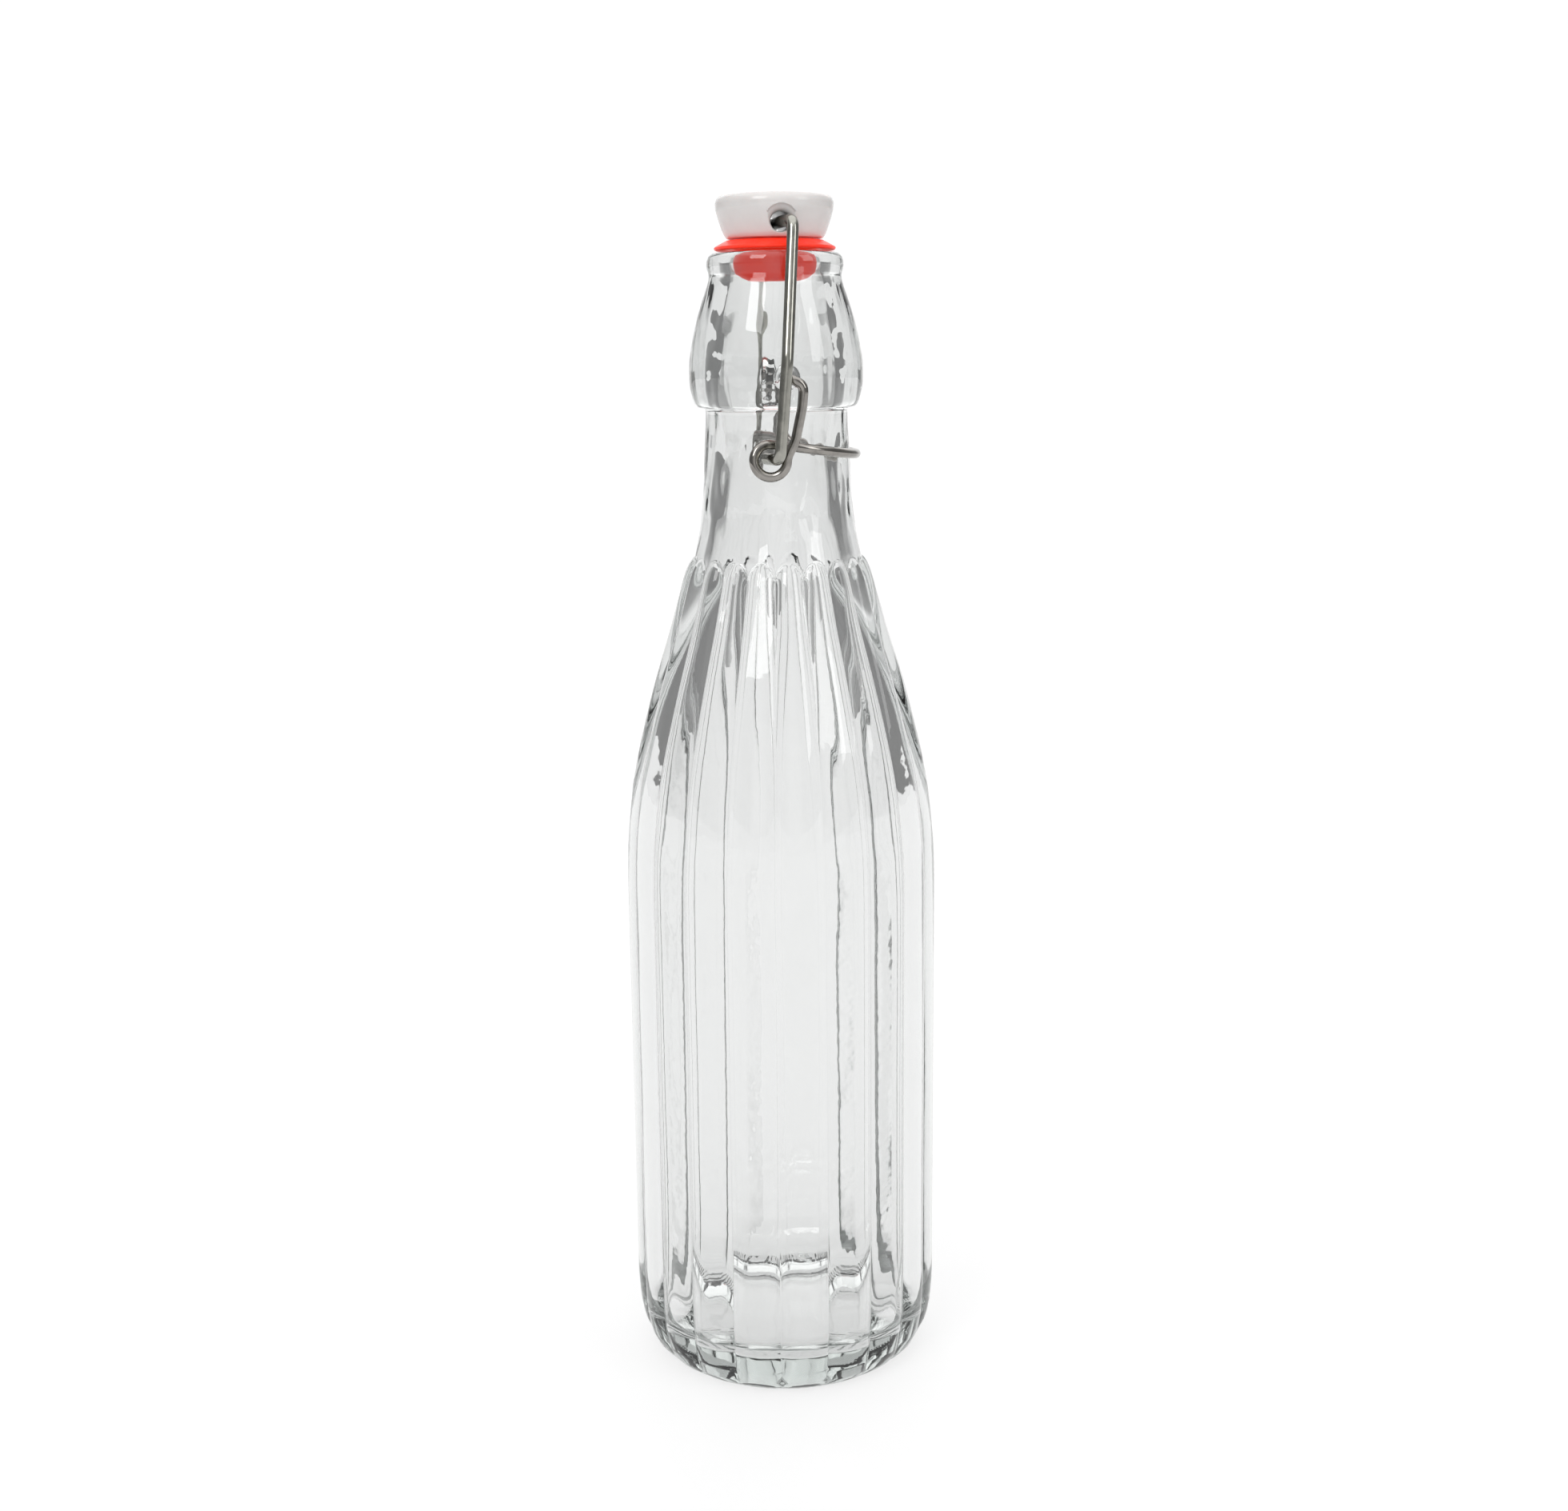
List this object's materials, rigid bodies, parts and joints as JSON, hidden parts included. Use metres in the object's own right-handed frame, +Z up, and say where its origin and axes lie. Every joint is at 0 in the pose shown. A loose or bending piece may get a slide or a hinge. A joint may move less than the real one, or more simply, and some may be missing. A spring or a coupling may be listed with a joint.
{
  "type": "swing-top growler bottle",
  "caption": "Tall ribbed clear glass bottle with a swing-top wire closure, white stopper and red seal.",
  "frame": {"origin": "centre of the standing ring, on the surface the bottle stands on", "axes": "+Z up along the bottle's axis; the lever's pivot line runs along Y through the collar; the lever's handle is at the front, +X"},
  "size_m": [0.08, 0.08, 0.2997],
  "materials": {
    "glass_bottle": "clear, moulded, glossy",
    "locking_lever": "drawn wire, darkened by handling",
    "stopper_bail": "drawn wire, satin",
    "stopper_head": "glossy white",
    "seal_gasket": "red, slightly shiny"
  },
  "bodies": {
    "bottle": {"glass_bottle": "glass_bottle"},
    "lever": {"locking_lever": "locking_lever"},
    "bail": {"stopper_bail": "stopper_bail"},
    "stopper": {"stopper_head": "stopper_head", "seal_gasket": "seal_gasket"}
  },
  "joints": [
    {"name": "lever_pivot", "type": "hinge", "parent": "bottle", "child": "lever", "pos_m": [0, 0, 0.2559], "axis": [0, -1, 0], "range_deg": [0, 85]},
    {"name": "bail_pivot", "type": "hinge", "parent": "lever", "child": "bail", "pos_m": [-0.0037, 0, 0.23685], "axis": [0, -1, 0], "range_deg": [-56.52, 0]},
    {"name": "stopper_pivot", "type": "hinge", "parent": "bail", "child": "stopper", "pos_m": [0, 0, 0.2924], "axis": [0, -1, 0], "range_deg": [-28.48, 0]}
  ],
  "couplings": [
    {"joint": "bail_pivot", "follows": "lever_pivot", "ratio": -0.665},
    {"joint": "stopper_pivot", "follows": "lever_pivot", "ratio": -0.335}
  ]
}
